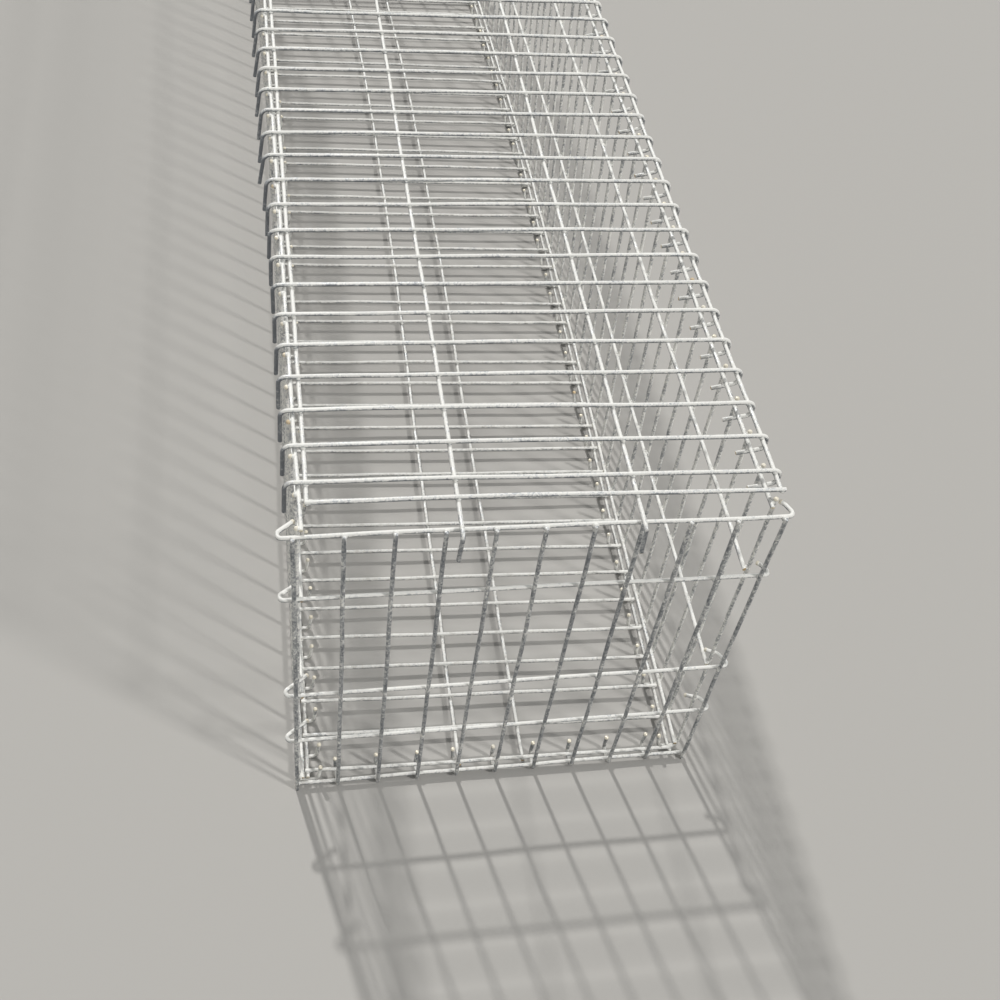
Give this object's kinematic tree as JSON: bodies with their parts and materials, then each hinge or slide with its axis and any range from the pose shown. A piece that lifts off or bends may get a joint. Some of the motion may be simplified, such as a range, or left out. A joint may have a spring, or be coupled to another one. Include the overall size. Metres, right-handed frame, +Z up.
{
  "type": "gabion wall basket",
  "caption": "Empty rectangular gabion basket of welded galvanised wire mesh, with hooked panels and a lid that opens along one long edge.",
  "frame": {"origin": "on the ground, under the middle of the basket", "axes": "+Z up; +Y along the basket, away from the end seen in the picture; +X towards the side that the lid is hinged on"},
  "size_m": [0.5325, 2.061, 0.5117],
  "materials": {
    "galvanised_wire": "hot-dip galvanised zinc, dull and mottled, with bare cut ends"
  },
  "bodies": {
    "cage": {"base_mesh": "galvanised_wire", "left_side_mesh": "galvanised_wire", "right_side_mesh": "galvanised_wire", "front_end_mesh": "galvanised_wire", "back_end_mesh": "galvanised_wire"},
    "lid": {"lid_mesh": "galvanised_wire"}
  },
  "joints": [
    {"name": "lid_hinge", "type": "hinge", "parent": "cage", "child": "lid", "pos_m": [0.249, 0, 0.48], "axis": [0, 1, 0], "range_deg": [0, 110]}
  ]
}
